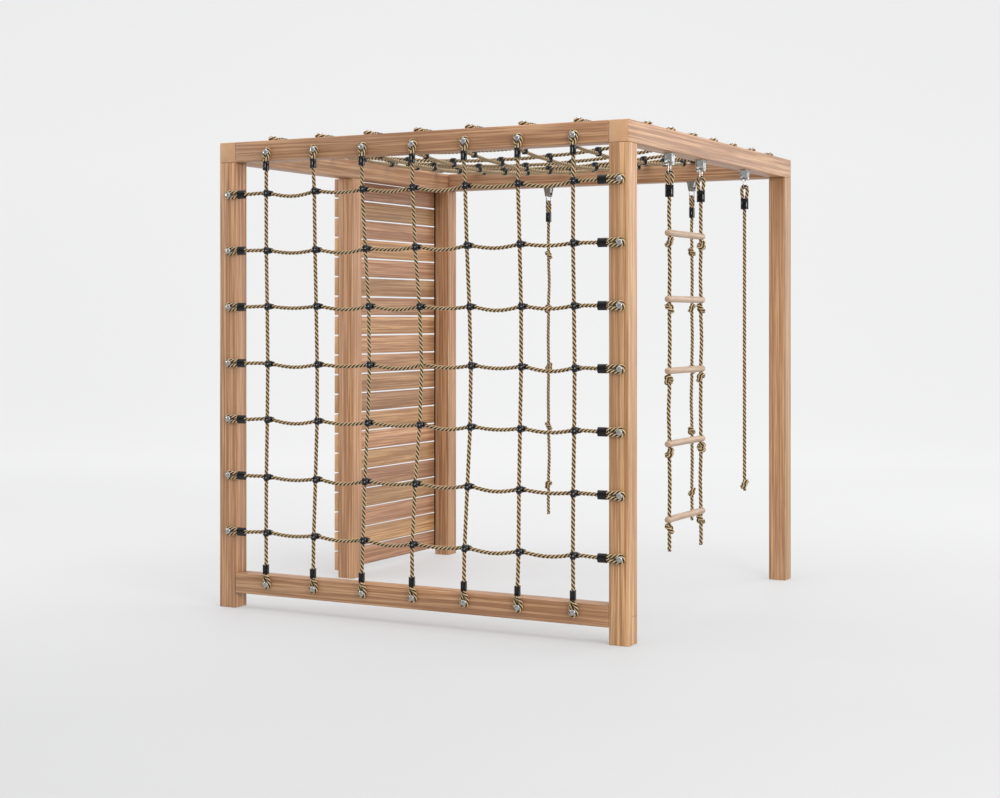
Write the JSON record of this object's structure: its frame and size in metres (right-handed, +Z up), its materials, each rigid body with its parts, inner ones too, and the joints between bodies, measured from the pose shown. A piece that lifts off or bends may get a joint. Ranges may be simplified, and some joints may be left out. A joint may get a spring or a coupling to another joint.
{
  "type": "timber climbing frame with rope nets",
  "caption": "Cube-shaped timber climbing frame with rope climbing nets on its front and roof, a slatted side panel, a rope ladder and hanging climbing ropes.",
  "frame": {"origin": "middle of the whole object's base, on the ground", "axes": "+Z up; -Y is the side with the upright climbing net; -X is the side with the slatted panel; +X is the side with the rope ladder"},
  "size_m": [2.0214, 2.0272, 2.1031],
  "materials": {
    "timber": "oiled, brown, plain sawn",
    "boards": "oiled, brown, plain sawn",
    "rope": "three-strand laid rope, golden brown",
    "steel": "galvanised",
    "birch": "turned and sanded, pale",
    "black_plastic": "gloss black moulding"
  },
  "bodies": {
    "frame": {"post_front_left": "timber", "post_front_right": "timber", "post_middle_left": "timber", "post_back_left": "timber", "post_back_right": "timber", "beam_left": "timber", "beam_right": "timber", "beam_front": "timber", "beam_back": "timber", "sill_front": "timber", "slats_1": "boards", "slats_2": "boards", "slats_3": "boards", "slats_4": "boards", "front_rope_up_1": "rope", "front_rope_up_2": "rope", "front_rope_up_3": "rope", "front_rope_up_4": "rope", "front_rope_up_5": "rope", "front_rope_up_6": "rope", "front_rope_up_7": "rope", "front_rope_across_1": "rope", "front_rope_across_2": "rope", "front_rope_across_3": "rope", "front_rope_across_4": "rope", "front_rope_across_5": "rope", "front_rope_across_6": "rope", "front_rope_across_7": "rope", "roof_rope_along_1": "rope", "roof_rope_along_2": "rope", "roof_rope_along_3": "rope", "roof_rope_along_4": "rope", "roof_rope_along_5": "rope", "roof_rope_along_6": "rope", "roof_rope_along_7": "rope", "roof_rope_across_1": "rope", "roof_rope_across_2": "rope", "roof_rope_across_3": "rope", "roof_rope_across_4": "rope", "roof_rope_across_5": "rope", "roof_rope_across_6": "rope", "roof_rope_across_7": "rope", "hanger_ladder_front": "steel", "hanger_ladder_back": "steel", "hanger_climbing_rope": "steel", "hanger_knotted_rope_left": "steel", "hanger_knotted_rope_right": "steel"},
    "ladder": {"ladder_rope_front": "rope", "ladder_rope_back": "rope", "rung_1": "birch", "rung_2": "birch", "rung_3": "birch", "rung_4": "birch", "rung_5": "birch"},
    "climbing_rope_link": {"climbing_rope_link": "steel"},
    "climbing_rope": {"climbing_rope": "rope"},
    "knotted_rope_left_link": {"knotted_rope_left_link": "steel"},
    "knotted_rope_left": {"knotted_rope_left": "rope"},
    "knotted_rope_right_link": {"knotted_rope_right_link": "steel"},
    "knotted_rope_right": {"knotted_rope_right": "rope"}
  },
  "joints": [
    {"name": "ladder_swing", "type": "hinge", "parent": "frame", "child": "ladder", "pos_m": [0.96765, -0.2814, 1.9025], "axis": [0, 1, 0], "range_deg": [-50, 50]},
    {"name": "climbing_rope_sway", "type": "hinge", "parent": "frame", "child": "climbing_rope_link", "pos_m": [0.96765, 0.4596, 1.95], "axis": [1, 0, 0], "range_deg": [-20, 17]},
    {"name": "climbing_rope_swing", "type": "hinge", "parent": "climbing_rope_link", "child": "climbing_rope", "pos_m": [0.96765, 0.4596, 1.9025], "axis": [0, 1, 0], "range_deg": [-55, 55]},
    {"name": "knotted_rope_left_sway", "type": "hinge", "parent": "frame", "child": "knotted_rope_left_link", "pos_m": [-0.31435, 0.9706, 1.95], "axis": [0, 1, 0], "range_deg": [-18, 18]},
    {"name": "knotted_rope_left_swing", "type": "hinge", "parent": "knotted_rope_left_link", "child": "knotted_rope_left", "pos_m": [-0.31435, 0.9706, 1.9025], "axis": [1, 0, 0], "range_deg": [-50, 50]},
    {"name": "knotted_rope_right_sway", "type": "hinge", "parent": "frame", "child": "knotted_rope_right_link", "pos_m": [0.50065, 0.9706, 1.95], "axis": [0, 1, 0], "range_deg": [-13, 18]},
    {"name": "knotted_rope_right_swing", "type": "hinge", "parent": "knotted_rope_right_link", "child": "knotted_rope_right", "pos_m": [0.50065, 0.9706, 1.9025], "axis": [1, 0, 0], "range_deg": [-50, 50]}
  ]
}
